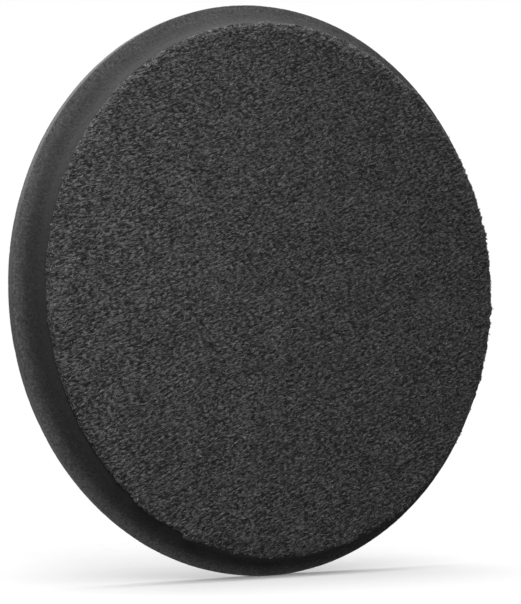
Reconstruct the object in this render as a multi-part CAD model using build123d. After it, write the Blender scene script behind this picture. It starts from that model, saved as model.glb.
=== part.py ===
from build123d import *

import os

# A flat foam polishing pad: a foam disc whose back is covered with hook-and-loop fabric.
#
# The frame: the pad stands on its rim like a wheel. Its axis lies along Y, and the origin is the
# centre of the loop fabric's outer face. +Y runs through the pad to the foam's working face, and
# +Z is up. All lengths are in millimetres.

# Driving dimensions.
WORKING_DIAMETER = 152.4  # the foam's working face, a 6 inch pad
LOOP_DIAMETER = 141.2  # the loop fabric on the side that meets the machine
FOAM_THICKNESS = 9.5
FILM_THICKNESS = 0.1  # hot-melt adhesive between the fabric and the foam
FABRIC_THICKNESS = 1.6  # knitted ground and loop pile together

# The foam's rim, from the working face to the fabric.
LAND_WIDTH = 2.7  # the straight band at full diameter, beside the working face
WAIST_DEPTH = 4.9  # from the loop face to where the waist meets the flare
WAIST_DIAMETER = 142.6  # there
FLARE_HOLLOW = 1.0  # how far the cove of the flare dips below a straight cone
WORKING_EDGE = 0.4  # radius round the working face

# The fabric overhangs the foam slightly, and its pile thins out at the cut edge.
FABRIC_OVERHANG = 0.1
PILE_EDGE = 0.5

# Distances along the axis from the loop face.
FILM_START = FABRIC_THICKNESS
FOAM_START = FABRIC_THICKNESS + FILM_THICKNESS
TOTAL_THICKNESS = FOAM_START + FOAM_THICKNESS
FOAM_NECK_RADIUS = LOOP_DIAMETER / 2 - FABRIC_OVERHANG


def turned(section):
    """A half section in the XY plane, X being the radius, turned into a solid about the Y axis."""
    return revolve(section, axis=Axis.Y)


def flare_middle():
    """The middle point of the flare's cove, between the waist and the land."""
    waist = Vector(WAIST_DIAMETER / 2, WAIST_DEPTH)
    crease = Vector(WORKING_DIAMETER / 2, TOTAL_THICKNESS - LAND_WIDTH)
    along = (crease - waist).normalized()
    into_foam = Vector(-along.Y, along.X)
    return (waist + crease) * 0.5 + into_foam * FLARE_HOLLOW


def foam_pad():
    """The foam disc: flat working face, narrow land, coved flare and a slightly tapered waist."""
    waist = (WAIST_DIAMETER / 2, WAIST_DEPTH)
    crease = (WORKING_DIAMETER / 2, TOTAL_THICKNESS - LAND_WIDTH)
    rim = (WORKING_DIAMETER / 2, TOTAL_THICKNESS)
    middle = flare_middle()
    with BuildSketch() as section:
        with BuildLine():
            Line((0, FOAM_START), (FOAM_NECK_RADIUS, FOAM_START))
            Line((FOAM_NECK_RADIUS, FOAM_START), waist)
            ThreePointArc(waist, (middle.X, middle.Y), crease)
            Line(crease, rim)
            Line(rim, (0, TOTAL_THICKNESS))
            Line((0, TOTAL_THICKNESS), (0, FOAM_START))
        make_face()
        outer = section.vertices().sort_by_distance((*rim, 0))[0]
        fillet(outer, radius=WORKING_EDGE)
    return turned(section.sketch)


def adhesive_film():
    """The hot-melt film that bonds the fabric to the foam, flush with the foam's neck."""
    with BuildSketch() as section:
        with Locations((FOAM_NECK_RADIUS / 2, FILM_START + FILM_THICKNESS / 2)):
            Rectangle(FOAM_NECK_RADIUS, FILM_THICKNESS)
    return turned(section.sketch)


def loop_backing():
    """The disc of knitted loop fabric, with its pile side outwards and thinned at the edge."""
    radius = LOOP_DIAMETER / 2
    with BuildSketch() as section:
        with Locations((radius / 2, FABRIC_THICKNESS / 2)):
            Rectangle(radius, FABRIC_THICKNESS)
        outer = section.vertices().sort_by_distance((radius, 0, 0))[0]
        chamfer(outer, length=PILE_EDGE)
    return turned(section.sketch)


PARTS = {
    "foam_pad": foam_pad(),
    "adhesive_film": adhesive_film(),
    "loop_backing": loop_backing(),
}

os.makedirs("parts", exist_ok=True)
for name, solid in PARTS.items():
    export_step(solid, f"parts/{name}.step")
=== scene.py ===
import math

import bpy
import numpy as np
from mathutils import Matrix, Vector

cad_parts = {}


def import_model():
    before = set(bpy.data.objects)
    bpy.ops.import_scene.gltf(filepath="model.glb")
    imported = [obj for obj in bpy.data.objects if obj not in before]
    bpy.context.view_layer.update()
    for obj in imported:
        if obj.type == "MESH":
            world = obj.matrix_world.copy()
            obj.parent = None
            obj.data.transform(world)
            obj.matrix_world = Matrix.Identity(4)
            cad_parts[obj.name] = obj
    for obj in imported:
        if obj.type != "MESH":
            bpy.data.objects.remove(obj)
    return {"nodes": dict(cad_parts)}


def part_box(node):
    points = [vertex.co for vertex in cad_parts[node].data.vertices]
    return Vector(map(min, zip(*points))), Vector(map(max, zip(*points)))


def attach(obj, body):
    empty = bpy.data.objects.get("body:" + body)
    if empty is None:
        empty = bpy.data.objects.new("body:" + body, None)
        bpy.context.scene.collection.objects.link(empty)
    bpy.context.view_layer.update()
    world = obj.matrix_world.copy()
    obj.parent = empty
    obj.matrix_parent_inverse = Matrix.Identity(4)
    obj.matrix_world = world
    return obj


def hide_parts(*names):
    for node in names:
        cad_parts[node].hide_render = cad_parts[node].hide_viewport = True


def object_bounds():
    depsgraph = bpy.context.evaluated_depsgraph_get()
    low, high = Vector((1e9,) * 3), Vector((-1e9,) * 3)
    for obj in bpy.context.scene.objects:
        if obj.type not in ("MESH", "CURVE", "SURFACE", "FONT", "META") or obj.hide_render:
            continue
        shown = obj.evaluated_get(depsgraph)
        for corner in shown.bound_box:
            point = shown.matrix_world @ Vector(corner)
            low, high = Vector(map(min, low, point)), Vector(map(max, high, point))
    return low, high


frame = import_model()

CAD_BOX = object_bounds()

# A foam polishing pad standing on its rim. Its axis lies along Y: the loop fabric faces -Y, towards
# the camera, and the foam's working face looks along +Y. All lengths here are in metres.

MM = 0.001
TINY = 1e-6  # a length too small to matter

# The three layers' sizes, from the frame.
FOAM_LOW, FOAM_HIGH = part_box("foam_pad")
FABRIC_LOW, FABRIC_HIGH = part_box("loop_backing")
FILM_LOW, FILM_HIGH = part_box("adhesive_film")
WORKING_RADIUS = FOAM_HIGH.z
FOAM_START = FOAM_LOW.y
FOAM_END = FOAM_HIGH.y
FABRIC_RADIUS = FABRIC_HIGH.z
FABRIC_BACK = FABRIC_HIGH.y
NECK_RADIUS = FILM_HIGH.z

# The foam's rim, as in the CAD.
LAND_WIDTH = 2.7 * MM
WAIST_DEPTH = 4.9 * MM
WAIST_RADIUS = 71.3 * MM
FLARE_HOLLOW = 1.0 * MM
WORKING_EDGE = 0.4 * MM
# These edges are sharp in the CAD, and slightly rounded here.
WAIST_EDGE = 0.3 * MM
CREASE_EDGE = 0.12 * MM

CELL_SIZE = 0.95 * MM  # spacing of the foam's open cells
CELL_DEPTH = 0.1 * MM
FACE_INSET = 2 * MM  # the ring round the working face that is meshed as finely as the rim

# The knitted fabric: wales run across the disc at a slant, and each stitch carries a tuft of pile.
WALE_PITCH = 1.27 * MM
COURSE_PITCH = 1.0 * MM
WALE_SLANT = math.radians(22.9)
NAP_ANGLE = math.radians(-5)  # the way the tufts lie, from horizontal
NAP_SPREAD = math.radians(120)  # how far the tufts' directions vary, in all
STRAND_ANGLE = math.radians(20)  # the way the brushed fibres lie
TUFT_HEIGHT = 0.42 * MM
TUFT_LEVEL = 0.55  # the share of a tuft's height that lies below the skin

PILE_EDGE = 1.3 * MM  # how far the pile rounds off at the cut edge
EDGE_ROLL = 0.45 * MM  # how much lower the knit lies at its edge
ROLL_WIDTH = 3.5 * MM  # how far in that starts
# The unevenness of the cut edge: the size and depth of each noise in it, and its seed.
RAGGED = [(5 * MM, 0.4 * MM, 8), (1.7 * MM, 0.35 * MM, 6), (0.8 * MM, 0.25 * MM, 7)]
# Where the pile leans out over the edge: how far, on which side of the disc, counted in degrees
# from +X towards +Z, and how quickly that fades round the edge.
SWEEPS = [(1.2 * MM, 238, 5), (1.3 * MM, 302, 12)]
LEAN_START = 0.95  # the share of the fabric's radius beyond which the pile leans out
ROOT_DEPTH = -0.15 * MM  # where a fibre bundle's ends lie below the knit
LOOPS = 16000  # fibre bundles that lie on the fabric
FRINGE = 5000  # fibre ends along the cut edge

FABRIC_STEP = 0.42 * MM  # mesh spacing on the fabric
RIM_STEP = 0.42 * MM  # mesh spacing round the foam's rim
FACE_STEP = 0.66 * MM  # mesh spacing on the foam's working face
HIDDEN_STEP = 5 * MM  # mesh spacing where two layers are bonded


# Meshes of revolution, made of rings.

def rounded(corners, step):
    """Points about step apart along a polyline whose corners, (r, y, radius), are rounded."""
    path = [np.array(corners[0][:2])]
    for before, (r, y, radius), after in zip(corners, corners[1:], corners[2:]):
        here = np.array((r, y))
        back, on = np.array(before[:2]) - here, np.array(after[:2]) - here
        back, on = back / np.linalg.norm(back), on / np.linalg.norm(on)
        half = math.acos(np.clip(back @ on, -1, 1)) / 2
        reach = radius / math.tan(half)
        start, end = here + back * reach, here + on * reach
        path += run(path[-1], start, step)
        count = max(2, round((math.pi - 2 * half) * radius / step))
        for t in np.linspace(0, 1, count + 1)[1:]:
            path.append((1 - t) ** 2 * start + 2 * t * (1 - t) * here + t**2 * end)
    path += run(path[-1], np.array(corners[-1][:2]), step)
    return np.array(path)


def run(start, end, step):
    """Points about step apart from just after start up to end."""
    count = max(1, round(np.linalg.norm(end - start) / step))
    return [start + (end - start) * k / count for k in range(1, count + 1)]


def stitch(a, n, b, m, faces):
    """Faces between two closed rings of n and m points that start at indices a and b."""
    if n == 1:
        faces += [(a, b + j, b + (j + 1) % m) for j in range(m)]
        return
    if m == 1:
        faces += [(a + (i + 1) % n, a + i, b) for i in range(n)]
        return
    i = j = 0
    while i < n or j < m:
        if j == m or (i < n and (i + 1) * m <= (j + 1) * n):
            faces.append((a + (i + 1) % n, a + i % n, b + j % m))
            i += 1
        else:
            faces.append((a + i % n, b + j % m, b + (j + 1) % m))
            j += 1


class Turned:
    """A closed surface of revolution about Y, built ring by ring, before it is displaced."""

    def __init__(self, stretches):
        """stretches are (profile points, spacing round the ring), end to end."""
        radius, depth, counts = [], [], []
        for points, spacing in stretches:
            for r, y in points if not radius else points[1:]:
                radius.append(r)
                depth.append(y)
                counts.append(1 if r < 1e-7 else max(6, round(2 * math.pi * r / spacing)))
        self.radius, self.depth = np.array(radius), np.array(depth)
        run_r, run_y = np.gradient(self.radius), np.gradient(self.depth)
        size = np.hypot(run_r, run_y)
        self.normal_r, self.normal_y = run_y / size, -run_r / size
        steps = np.hypot(np.diff(radius), np.diff(depth))
        self.along = np.concatenate([[0], np.cumsum(steps)])
        starts = np.concatenate([[0], np.cumsum(counts)[:-1]])
        self.faces = []
        for k in range(len(counts) - 1):
            stitch(starts[k], counts[k], starts[k + 1], counts[k + 1], self.faces)
        ring = np.repeat(np.arange(len(counts)), counts)
        within = np.arange(len(ring)) - starts[ring]
        # Each mesh point's angle about Y, and its distance along the profile.
        self.angle = 2 * math.pi * (within + 0.5 * (ring % 2)) / np.array(counts)[ring]
        self.arc = self.along[ring]

    def at(self, arc, angle, out):
        """Points that far along the profile, at that angle, moved out along the normal."""
        r, y, normal_r, normal_y = (
            np.interp(arc, self.along, values)
            for values in (self.radius, self.depth, self.normal_r, self.normal_y)
        )
        r = r + normal_r * out
        return np.stack([r * np.cos(angle), y + normal_y * out, r * np.sin(angle)], axis=-1)

    def points(self, out=0.0):
        return self.at(self.arc, self.angle, out)


def mesh_object(name, points, faces):
    mesh = bpy.data.meshes.new(name)
    mesh.from_pydata(points.tolist(), [], faces)
    mesh.validate()
    mesh.shade_smooth()
    made = bpy.data.objects.new(name, mesh)
    bpy.context.scene.collection.objects.link(made)
    return made


def attribute(made, name, values):
    layer = made.data.attributes.new(name, "FLOAT", "POINT")
    layer.data.foreach_set("value", np.asarray(values, np.float32))


# Smooth random fields.

RANDOM_CELLS = 4096
SCATTER = (73856093, 19349663, 83492791)  # large primes that scatter the grid's cells


def cell_key(cell):
    """A repeatable index below RANDOM_CELLS for each grid cell."""
    x, y, z = (cell[:, k] * SCATTER[k] for k in range(3))
    return (x ^ y ^ z) % RANDOM_CELLS


def value_noise(points, size, seed):
    """Smooth noise from -1 to 1 with features about size across, at an array of 3-D points."""
    table = np.random.default_rng(seed).uniform(-1, 1, RANDOM_CELLS)
    at = points / size
    cell = np.floor(at).astype(int)
    t = at - cell
    t = t * t * (3 - 2 * t)
    total = np.zeros(len(points))
    for corner in np.ndindex(2, 2, 2):
        weight = np.prod(np.where(corner, t, 1 - t), axis=1)
        total += weight * table[cell_key(cell + corner)]
    return total


def pores(points, size, seed):
    """Depth from 0 to 1 of open cells about size apart, at an array of 3-D points."""
    random = np.random.default_rng(seed).random((RANDOM_CELLS, 4))
    at = points / size
    cell = np.floor(at).astype(int)
    depth = np.zeros(len(points))
    for corner in np.ndindex(3, 3, 3):
        c = cell + corner - 1
        r = random[cell_key(c)]
        away = np.linalg.norm(at - c - r[:, :3], axis=1)
        depth = np.maximum(depth, 1 - away / (0.3 + 0.3 * r[:, 3]))
    return depth


def tufts(x, z):
    """Height from 0 to 1 of the knit's tufts at points of the fabric's plane."""
    u = x * math.cos(WALE_SLANT) + z * math.sin(WALE_SLANT)
    v = -x * math.sin(WALE_SLANT) + z * math.cos(WALE_SLANT)
    row = np.floor(v / WALE_PITCH).astype(int)
    random = np.random.default_rng(11).random((256, 256, 5))
    best = np.zeros(len(x))
    for dj in (-1, 0, 1):
        j = row + dj
        shift = 0.5 * (j % 2)
        column = np.floor(u / COURSE_PITCH - shift).astype(int)
        for di in (-1, 0, 1):
            i = column + di
            r = random[i % 256, j % 256]
            cu = (i + 0.5 + shift + 0.8 * (r[:, 0] - 0.5)) * COURSE_PITCH
            cv = (j + 0.5 + 0.45 * (r[:, 1] - 0.5)) * WALE_PITCH
            turn = NAP_ANGLE - WALE_SLANT + (r[:, 2] - 0.5) * NAP_SPREAD
            du, dv = u - cu, v - cv
            a = (du * np.cos(turn) + dv * np.sin(turn)) / ((0.3 + 0.25 * r[:, 0]) * MM)
            b = (-du * np.sin(turn) + dv * np.cos(turn)) / ((0.2 + 0.15 * r[:, 4]) * MM)
            best = np.maximum(best, (0.4 + 0.6 * r[:, 3]) * np.exp(-(a * a + b * b) / 2))
    return best


# Materials.

class Shader:
    """A new material's nodes, with short ways to make and link them."""

    def __init__(self, name):
        self.material = bpy.data.materials.new(name)
        self.material.use_nodes = True
        self.tree = self.material.node_tree
        self.tree.nodes.clear()
        self.out = self.tree.nodes.new("ShaderNodeOutputMaterial")

    def node(self, kind, inputs=(), **settings):
        made = self.tree.nodes.new("ShaderNode" + kind)
        for key, value in settings.items():
            setattr(made, key, value)
        for key, value in dict(inputs).items():
            if isinstance(value, bpy.types.NodeSocket):
                self.tree.links.new(value, made.inputs[key])
            else:
                made.inputs[key].default_value = value
        return made

    def math(self, operation, a, b=0.0, clamp=False):
        return self.node("Math", {0: a, 1: b}, operation=operation, use_clamp=clamp).outputs[0]

    def ramp(self, value, stops):
        """A colour ramp of (position, grey or colour)."""
        made = self.node("ValToRGB", {0: value})
        elements = made.color_ramp.elements
        while len(elements) < len(stops):
            elements.new(0.5)
        for element, (position, shade) in zip(elements, stops):
            element.position = position
            element.color = (shade, shade, shade, 1) if isinstance(shade, float) else shade
        return made.outputs[0]

    def finish(self, surface):
        self.tree.links.new(surface, self.out.inputs["Surface"])
        return self.material


def strands(s, place):
    """Stretched noise from 0 to 1: fibres that lie along the nap, with a little curl."""
    along = s.node(
        "Mapping",
        {"Vector": place, "Rotation": (0, -STRAND_ANGLE, 0), "Scale": (1.1 * MM, 0.5 * MM, 0.3 * MM)},
        vector_type="TEXTURE",
    ).outputs[0]
    made = s.node("TexNoise", {"Vector": along, "Scale": 1.0, "Detail": 1.5, "Distortion": 0.7})
    return s.math("ADD", s.math("MULTIPLY", made.outputs["Fac"], 3.2), -1.1, clamp=True)


def knit_material():
    """The knitted ground under the pile: black nylon, with painted shade that darkens it between its
    tufts.
    """
    s = Shader("knitted_ground")
    place = s.node("TexCoord").outputs["Object"]
    height = s.node("Attribute", attribute_name="tuft").outputs["Fac"]
    fibre = strands(s, place)
    cloud = s.node("TexNoise", {"Vector": place, "Scale": 110.0, "Detail": 2.0}).outputs["Fac"]
    # Painted shade: the lower the knit lies between its tufts, the darker its colour.
    mixed = s.math("ADD", s.math("MULTIPLY", height, 0.5), s.math("MULTIPLY", fibre, 0.7))
    mixed = s.math("ADD", mixed, s.math("MULTIPLY", s.math("SUBTRACT", cloud, 0.5), 0.3))
    colour = s.ramp(mixed, [(0.2, 0.002), (0.5, 0.02), (0.9, 0.09)])
    bump = s.node("Bump", {"Strength": 0.7, "Distance": 0.1 * MM, "Height": fibre})
    surface = s.node(
        "BsdfPrincipled",
        {
            "Base Color": colour,
            "Roughness": 0.9,
            "Specular IOR Level": 0.2,
            "Sheen Weight": 0.15,
            "Sheen Roughness": 0.5,
            "Normal": bump.outputs[0],
        },
    )
    return s.finish(surface.outputs[0])


def pile_material():
    """Brushed nylon fibres, some of them faded or dusty."""
    s = Shader("brushed_pile")
    place = s.node("TexCoord").outputs["Object"]
    tone = s.node("Attribute", attribute_name="tone").outputs["Fac"]
    cloud = s.node("TexNoise", {"Vector": place, "Scale": 140.0, "Detail": 2.0}).outputs["Fac"]
    strand = strands(s, place)
    mixed = s.math("ADD", tone, s.math("MULTIPLY", s.math("SUBTRACT", cloud, 0.5), 0.35))
    mixed = s.math("ADD", mixed, s.math("MULTIPLY", s.math("SUBTRACT", strand, 0.5), 0.7))
    colour = s.ramp(mixed, [(0.1, 0.003), (0.5, 0.04), (0.9, 0.13)])
    bump = s.node("Bump", {"Strength": 0.5, "Distance": 0.04 * MM, "Height": strand})
    surface = s.node(
        "BsdfPrincipled",
        {
            "Base Color": colour,
            "Roughness": 0.75,
            "Specular IOR Level": 0.3,
            "Sheen Weight": 0.15,
            "Sheen Roughness": 0.5,
            "Normal": bump.outputs[0],
        },
    )
    return s.finish(surface.outputs[0])


def foam_material():
    """Fine-celled polyurethane foam, dyed black: paler cell walls round dark open cells. Painted shade
    darkens the deeper cells and the corner of the rim's waist, and painted light brightens the rim's
    crease and land.
    """
    s = Shader("fine_celled_foam")
    place = s.node("TexCoord").outputs["Object"]
    pit = s.node("Attribute", attribute_name="pore").outputs["Fac"]
    painted_shading = s.node("Attribute", attribute_name="painted_shading").outputs["Fac"]
    cells = s.node("TexVoronoi", {"Vector": place, "Scale": 2600.0}).outputs["Distance"]
    grain = s.node("TexNoise", {"Vector": place, "Scale": 1300.0, "Detail": 3.0}).outputs["Fac"]
    cloud = s.node("TexNoise", {"Vector": place, "Scale": 90.0, "Detail": 3.0}).outputs["Fac"]
    wall = s.math("MULTIPLY", cells, 0.55)
    mixed = s.math("ADD", wall, s.math("MULTIPLY", grain, 0.6))
    mixed = s.math("ADD", mixed, s.math("MULTIPLY", s.math("SUBTRACT", cloud, 0.5), 0.25))
    # Painted shade: the deeper an open cell, the darker it is painted.
    mixed = s.math("SUBTRACT", mixed, s.math("MULTIPLY", pit, 0.25))
    colour = s.ramp(mixed, [(0.25, 0.013), (0.55, 0.032), (0.9, 0.06)])
    # Painted shade and light: the colour is scaled darkest in the corner of the rim's waist and palest
    # on its crease and land.
    shading_scale = s.math("ADD", painted_shading, 0.38)
    colour = s.node("VectorMath", {0: colour, "Scale": shading_scale}, operation="SCALE").outputs[0]
    bump = s.node("Bump", {"Strength": 0.5, "Distance": 0.08 * MM, "Height": mixed})
    surface = s.node(
        "BsdfPrincipled",
        {
            "Base Color": colour,
            "Roughness": 0.9,
            "Specular IOR Level": 0.15,
            "Sheen Weight": 0.08,
            "Sheen Roughness": 0.6,
            "Normal": bump.outputs[0],
        },
    )
    return s.finish(surface.outputs[0])


def film_material():
    """The hot-melt film, satin and slightly uneven."""
    s = Shader("hot_melt_film")
    place = s.node("TexCoord").outputs["Object"]
    flow = s.node("TexNoise", {"Vector": place, "Scale": 300.0, "Detail": 2.0}).outputs["Fac"]
    colour = s.ramp(flow, [(0.3, 0.02), (0.7, 0.035)])
    surface = s.node("BsdfPrincipled", {"Base Color": colour, "Roughness": 0.5})
    return s.finish(surface.outputs[0])


# The two soft pieces.

def swept(points):
    """The points, with the pile near the edge leaning out on the side it is brushed towards."""
    x, y, z = points[..., 0], points[..., 1], points[..., 2]
    near = np.clip((np.hypot(x, z) / FABRIC_RADIUS - LEAN_START) / (1 - LEAN_START), 0, 1)
    tip = np.clip(1 - y / FABRIC_BACK, 0, 1)
    angle = np.arctan2(z, x)
    push = near**2 * tip * sum(
        reach * np.clip(np.cos(angle - math.radians(side)), 0, 1) ** fade
        for reach, side, fade in SWEEPS
    )
    return points + np.stack([push * np.cos(angle), 0 * push, push * np.sin(angle)], axis=-1)


def fabric_skin():
    """The fabric disc before it is displaced: a flat face, a rounded edge and a flat back."""
    front = rounded(
        [(0, 0, 0), (FABRIC_RADIUS, 0, PILE_EDGE), (FABRIC_RADIUS, FABRIC_BACK, 0)], FABRIC_STEP
    )
    back = np.linspace((FABRIC_RADIUS, FABRIC_BACK), (0, FABRIC_BACK), 30)
    return Turned([(front, FABRIC_STEP), (back, HIDDEN_STEP)])


def knit_lift(arc, angle):
    """How far the knit stands out from the skin, and its tufts' height from 0 to 1."""
    x, z = arc * np.cos(angle), arc * np.sin(angle)
    height = tufts(x, z)
    flat = np.stack([x, 0 * x, z], axis=-1)
    broad = value_noise(flat, 3.2 * MM, 5) * 0.05 * MM
    at_edge = np.clip((arc - FABRIC_RADIUS + ROLL_WIDTH) / ROLL_WIDTH, 0, 1)
    past_edge = np.clip((arc - FABRIC_RADIUS) / PILE_EDGE, 0, 1)
    ragged = at_edge * sum(value_noise(flat, size, seed) * depth for size, depth, seed in RAGGED)
    rolled = EDGE_ROLL * at_edge**2 * (1 - past_edge)
    return (height - TUFT_LEVEL) * TUFT_HEIGHT + broad + ragged - rolled, height


def fabric(skin):
    """The knitted ground, with tufts in slanting rows and an uneven cut edge."""
    edge_end = FABRIC_RADIUS + FABRIC_BACK
    lift, height = knit_lift(np.minimum(skin.arc, edge_end), skin.angle)
    # The back corner is uneven only inwards, and the bonded back isn't uneven at all.
    corner = skin.along[-1] - FABRIC_RADIUS
    lift = np.where(skin.arc > corner - TINY, np.minimum(lift, 0), lift)
    lift = np.where(skin.arc > corner + TINY, 0, lift)
    made = mesh_object("loop_fabric", swept(skin.points(lift)), skin.faces)
    attribute(made, "tuft", height)
    made.data.materials.append(knit_material())
    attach(made, "root")
    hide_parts("loop_backing")
    return made


def spindles(name, skin, roots, turn, length, lifts, girth, bend):
    """Closed fibre bundles: each is pinched at both ends, with two rings of three points between.

    roots are (arc, angle) on the skin, turn is the bundle's direction in the unrolled plane, and
    lifts are the heights of its four points above the knit.
    """
    arc, angle = roots
    count = len(arc)
    centre = np.stack([arc * np.cos(angle), arc * np.sin(angle)], axis=-1)
    ahead = np.stack([np.cos(turn), np.sin(turn)], axis=-1)
    aside = np.stack([-np.sin(turn), np.cos(turn)], axis=-1)
    ground, _ = knit_lift(arc, angle)
    steps = np.array([0, 1 / 3, 2 / 3, 1])
    ring = [(0, 1), (math.sqrt(0.75), -0.5), (-math.sqrt(0.75), -0.5)]
    flat, up = [], []
    for k, t in enumerate(steps):
        middle = centre + ahead * ((t - 0.5) * length)[:, None]
        middle = middle + aside * (4 * t * (1 - t) * bend)[:, None]
        for sideways, outwards in ring if 0 < t < 1 else [(0, 0)]:
            flat.append(middle + aside * (sideways * girth)[:, None])
            up.append(ground + lifts[k] + outwards * girth)
    flat, up = np.stack(flat, axis=1), np.stack(up, axis=1)
    reach, bearing = np.hypot(flat[..., 0], flat[..., 1]), np.arctan2(flat[..., 1], flat[..., 0])
    points = swept(skin.at(reach, bearing, up)).reshape(-1, 3)
    corners = []
    for i in range(3):
        j = (i + 1) % 3
        corners += [(0, 1 + i, 1 + j), (1 + i, 4 + i, 4 + j), (1 + i, 4 + j, 1 + j), (7, 4 + j, 4 + i)]
    faces = (np.array(corners)[None] + 8 * np.arange(count)[:, None, None]).reshape(-1, 3)
    made = mesh_object(name, points, faces.tolist())
    made.data.materials.append(pile_material())
    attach(made, "root")
    return made


def pile(skin):
    """Loops brushed flat over the knit, in bundles that lie mostly along the nap."""
    random = np.random.default_rng(31)
    arc = (FABRIC_RADIUS + 0.3 * MM) * np.sqrt(random.random(2 * LOOPS))
    angle = random.uniform(0, 2 * math.pi, 2 * LOOPS)
    # The half that stand on the highest stitches, more or less.
    _, height = knit_lift(arc, angle)
    best = np.argsort(height + random.uniform(0, 0.6, 2 * LOOPS))[LOOPS:]
    arc, angle = arc[best], angle[best]
    turn = random.normal(STRAND_ANGLE, math.radians(32), LOOPS)
    length = random.uniform(0.9, 2.0, LOOPS) * MM
    top = random.uniform(0.02, 0.26, LOOPS) * MM
    buried = np.full(LOOPS, ROOT_DEPTH)
    lifts = [buried, top, top * random.uniform(0.6, 1.1, LOOPS), buried]
    girth = random.uniform(0.06, 0.11, LOOPS) * MM
    bend = random.normal(0, 0.2, LOOPS) * MM
    made = spindles("loop_pile", skin, (arc, angle), turn, length, lifts, girth, bend)
    attribute(made, "tone", np.repeat(random.beta(2, 2, LOOPS), 8))
    return made


def fringe(skin):
    """Fibre ends that stand out along the cut edge."""
    random = np.random.default_rng(32)
    arc = FABRIC_RADIUS + random.uniform(-0.7, 1.2, FRINGE) * MM
    angle = random.uniform(0, 2 * math.pi, FRINGE)
    turn = angle + random.normal(0, 0.8, FRINGE)
    length = random.uniform(0.5, 1.1, FRINGE) * MM
    tip = random.gamma(2, 0.08, FRINGE) * MM
    lifts = [np.full(FRINGE, ROOT_DEPTH), 0.1 * tip, 0.5 * tip, tip]
    girth = random.uniform(0.06, 0.14, FRINGE) * MM
    bend = random.normal(0, 0.1, FRINGE) * MM
    made = spindles("edge_fringe", skin, (arc, angle), turn, length, lifts, girth, bend)
    attribute(made, "tone", np.repeat(random.beta(2, 2, FRINGE), 8))
    return made


def loop_side():
    """The fabric with its pile and fringe."""
    skin = fabric_skin()
    ground = fabric(skin)
    pile(skin)
    fringe(skin)


def painted_shading(turned):
    """Painted shade and light for the foam's rim: a colour scale from 0 in the corner of its waist,
    where shade falls, to the most on its crease and land, where light falls.
    """
    # Radius and depth together only grow from the neck to the working face.
    waist = WAIST_RADIUS + WAIST_DEPTH
    crease = WORKING_RADIUS + FOAM_END - LAND_WIDTH
    stops = [
        (NECK_RADIUS + FOAM_START, 0.05),
        (waist - 1.2 * MM, 0.02),
        (waist, 0),
        ((waist + crease) / 2, 0.14),
        (crease, 1.2),
    ]
    shading_level = np.interp(turned.radius + turned.depth, *zip(*stops))
    shading_level = shading_level[np.searchsorted(turned.along, turned.arc - 1e-9)]
    on_face = turned.arc > turned.along[-1] - WORKING_RADIUS + FACE_INSET / 2
    return np.where(on_face, 0.4, shading_level)


def foam():
    """The foam body, with the flared rim and a fine uneven surface."""
    crease = (WORKING_RADIUS, FOAM_END - LAND_WIDTH)
    waist = (WAIST_RADIUS, WAIST_DEPTH)
    face_radius = WORKING_RADIUS - FACE_INSET
    along = Vector(crease) - Vector(waist)
    into = Vector((-along.y, along.x)).normalized() * FLARE_HOLLOW
    flare = [
        (*(Vector(waist) + along * t + into * 4 * t * (1 - t)), WAIST_EDGE)
        for t in np.linspace(0.1, 0.9, 7)
    ]
    rim = rounded(
        [
            (NECK_RADIUS, FOAM_START, 0),
            (*waist, WAIST_EDGE),
            *flare,
            (*crease, CREASE_EDGE),
            (WORKING_RADIUS, FOAM_END, WORKING_EDGE),
            (face_radius, FOAM_END, 0),
        ],
        RIM_STEP,
    )
    bonded = np.linspace((0, FOAM_START), (NECK_RADIUS, FOAM_START), 20)
    face = np.linspace((face_radius, FOAM_END), (0, FOAM_END), round(face_radius / FACE_STEP))
    turned = Turned([(bonded, HIDDEN_STEP), (rim, RIM_STEP), (face, FACE_STEP)])
    places = turned.points()
    pit = pores(places, CELL_SIZE, 21)
    broad = value_noise(places, 6 * MM, 22)
    outer = places[:, 1] > FOAM_START + TINY
    out = np.where(outer, broad * 0.05 * MM - pit * CELL_DEPTH, 0)
    made = mesh_object("foam_body", turned.points(out), turned.faces)
    attribute(made, "pore", pit)
    attribute(made, "painted_shading", painted_shading(turned))
    made.data.materials.append(foam_material())
    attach(made, "root")
    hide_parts("foam_pad")


loop_side()
foam()
film = frame["nodes"]["adhesive_film"]
film.data.materials.clear()
film.data.materials.append(film_material())


# The floor, the light and the camera.

TABLE_GLOW = 0.15  # the light that the table gets from a white room
TABLE_BOUNCE = 0.3  # the light that it sends up to the pad
FADE_START = 0.09  # how far from the pad the table starts to fade into the white ground
FADE_END = 0.26


def floor():
    """A table that looks white under the room's light, and fades out of sight near the pad."""
    low = CAD_BOX[0].z
    size = 0.5
    corners = [(-size, -size, low), (size, -size, low), (size, size, low), (-size, size, low)]
    made = mesh_object("floor", np.array(corners), [(0, 1, 2, 3)])
    s = Shader("white_table")
    place = s.node("TexCoord").outputs["Object"]
    tone = s.node("TexNoise", {"Vector": place, "Scale": 30.0}).outputs["Fac"]
    colour = s.ramp(tone, [(0.0, 0.10), (1.0, 0.105)])
    table = s.node("BsdfDiffuse", {"Color": colour}).outputs[0]
    glow = s.node("Emission", {"Color": (1, 1, 1, 1), "Strength": TABLE_GLOW}).outputs[0]
    lit = s.node("AddShader", {0: table, 1: glow}).outputs[0]
    away = s.node("VectorMath", {0: place, 1: (0, 0, low)}, operation="DISTANCE").outputs["Value"]
    fade = s.node("MapRange", {"Value": away, "From Min": FADE_START, "From Max": FADE_END}).outputs[0]
    clear = s.node("BsdfTransparent").outputs[0]
    bounce = s.node("Emission", {"Color": (1, 1, 1, 1), "Strength": TABLE_BOUNCE}).outputs[0]
    seen = s.node("LightPath").outputs["Is Camera Ray"]
    lit = s.node("MixShader", {0: seen, 1: bounce, 2: lit}).outputs[0]
    surface = s.node("MixShader", {0: fade, 1: lit, 2: clear})
    made.data.materials.append(s.finish(surface.outputs[0]))
    made.visible_glossy = False
    return made


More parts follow.
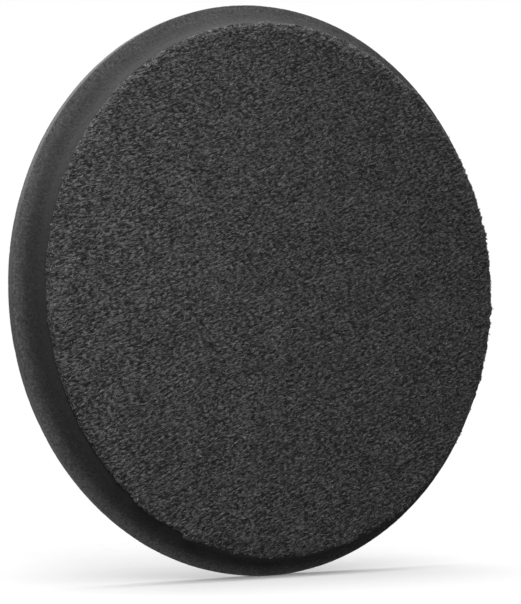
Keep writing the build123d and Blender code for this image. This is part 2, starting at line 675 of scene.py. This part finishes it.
def lamp(name, place, size, power):
    """A square soft box that points at the pad."""
    data = bpy.data.lights.new(name, "AREA")
    data.shape = "SQUARE"
    data.size = size
    data.energy = power
    made = bpy.data.objects.new(name, data)
    made.location = place
    made.rotation_euler = (-Vector(place)).to_track_quat("-Z", "Y").to_euler()
    made.visible_camera = False
    bpy.context.scene.collection.objects.link(made)
    return made


def around(azimuth, elevation, distance=1.0):
    """A place seen from the pad: azimuth 0 is the loop side's front, and -90 its left."""
    turn, rise = math.radians(azimuth), math.radians(elevation)
    level = math.cos(rise) * distance
    return (math.sin(turn) * level, -math.cos(turn) * level, math.sin(rise) * distance)


def world():
    """White for the camera; for the rest a dim light, strongest from below."""
    made = bpy.data.worlds.new("studio")
    made.use_nodes = True
    tree = made.node_tree
    tree.nodes.clear()
    out = tree.nodes.new("ShaderNodeOutputWorld")
    seen = tree.nodes.new("ShaderNodeBackground")
    seen.inputs[0].default_value = (1, 1, 1, 1)
    seen.inputs[1].default_value = 1.0
    felt = tree.nodes.new("ShaderNodeBackground")
    place = tree.nodes.new("ShaderNodeTexCoord")
    parts = tree.nodes.new("ShaderNodeSeparateXYZ")
    ramp = tree.nodes.new("ShaderNodeMapRange")
    tree.links.new(place.outputs["Generated"], parts.inputs[0])
    tree.links.new(parts.outputs[2], ramp.inputs["Value"])
    ramp.inputs["From Min"].default_value = -0.2
    ramp.inputs["From Max"].default_value = 0.8
    ramp.inputs["To Min"].default_value = 0.06
    ramp.inputs["To Max"].default_value = 0.01
    tree.links.new(ramp.outputs[0], felt.inputs[1])
    path = tree.nodes.new("ShaderNodeLightPath")
    mix = tree.nodes.new("ShaderNodeMixShader")
    tree.links.new(path.outputs["Is Camera Ray"], mix.inputs[0])
    tree.links.new(felt.outputs[0], mix.inputs[1])
    tree.links.new(seen.outputs[0], mix.inputs[2])
    tree.links.new(mix.outputs[0], out.inputs[0])
    bpy.context.scene.world = made


def camera():
    """Looks at the loop side from its left, level with the lower half of the pad."""
    azimuth, elevation = math.radians(-33.32), math.radians(-2.36)
    distance = 530 * MM
    lens = 119.65
    # The pad's centre is seen this much right of the picture's middle and above it.
    aside, above = 7.1 * MM, 3.63 * MM
    back = Vector(
        (
            math.sin(azimuth) * math.cos(elevation),
            -math.cos(azimuth) * math.cos(elevation),
            math.sin(elevation),
        )
    )
    turn = (-back).to_track_quat("-Z", "Y")
    right, up = turn @ Vector((1, 0, 0)), turn @ Vector((0, 1, 0))
    data = bpy.data.cameras.new("camera")
    data.lens = lens
    data.sensor_width = 36
    data.clip_start, data.clip_end = 0.01, 20
    made = bpy.data.objects.new("camera", data)
    made.rotation_mode = "QUATERNION"
    made.rotation_quaternion = turn
    made.location = back * distance - right * aside - up * above
    bpy.context.scene.collection.objects.link(made)
    bpy.context.scene.camera = made


table = floor()
# The room's own light, which only the table needs.
only_table = bpy.data.collections.new("only_table")
only_table.objects.link(table)
room = lamp("room_light", around(-15, 72), 3.2, 345.0)
room.light_linking.receiver_collection = only_table
# Soft boxes a metre away.
lamp("front_box", around(-14, 20), 0.5, 0.6)
lamp("high_front_box", around(0, 45), 0.5, 1.3)
lamp("top_box", around(0, 90), 0.5, 18.5)
lamp("back_box", around(-168, 25), 0.5, 9.0)
# Small ones beside the pad, whose light falls off across it.
lamp("near_left_box", (-0.14, -0.16, 0.05), 0.1, 0.44)
lamp("near_top_box", (-0.12, -0.2, 0.25), 0.15, 0.14)
lamp("low_back_card", (-0.08, 0.09, -0.068), 0.03, 0.07)
world()
camera()
bpy.context.scene.view_settings.view_transform = "Standard"
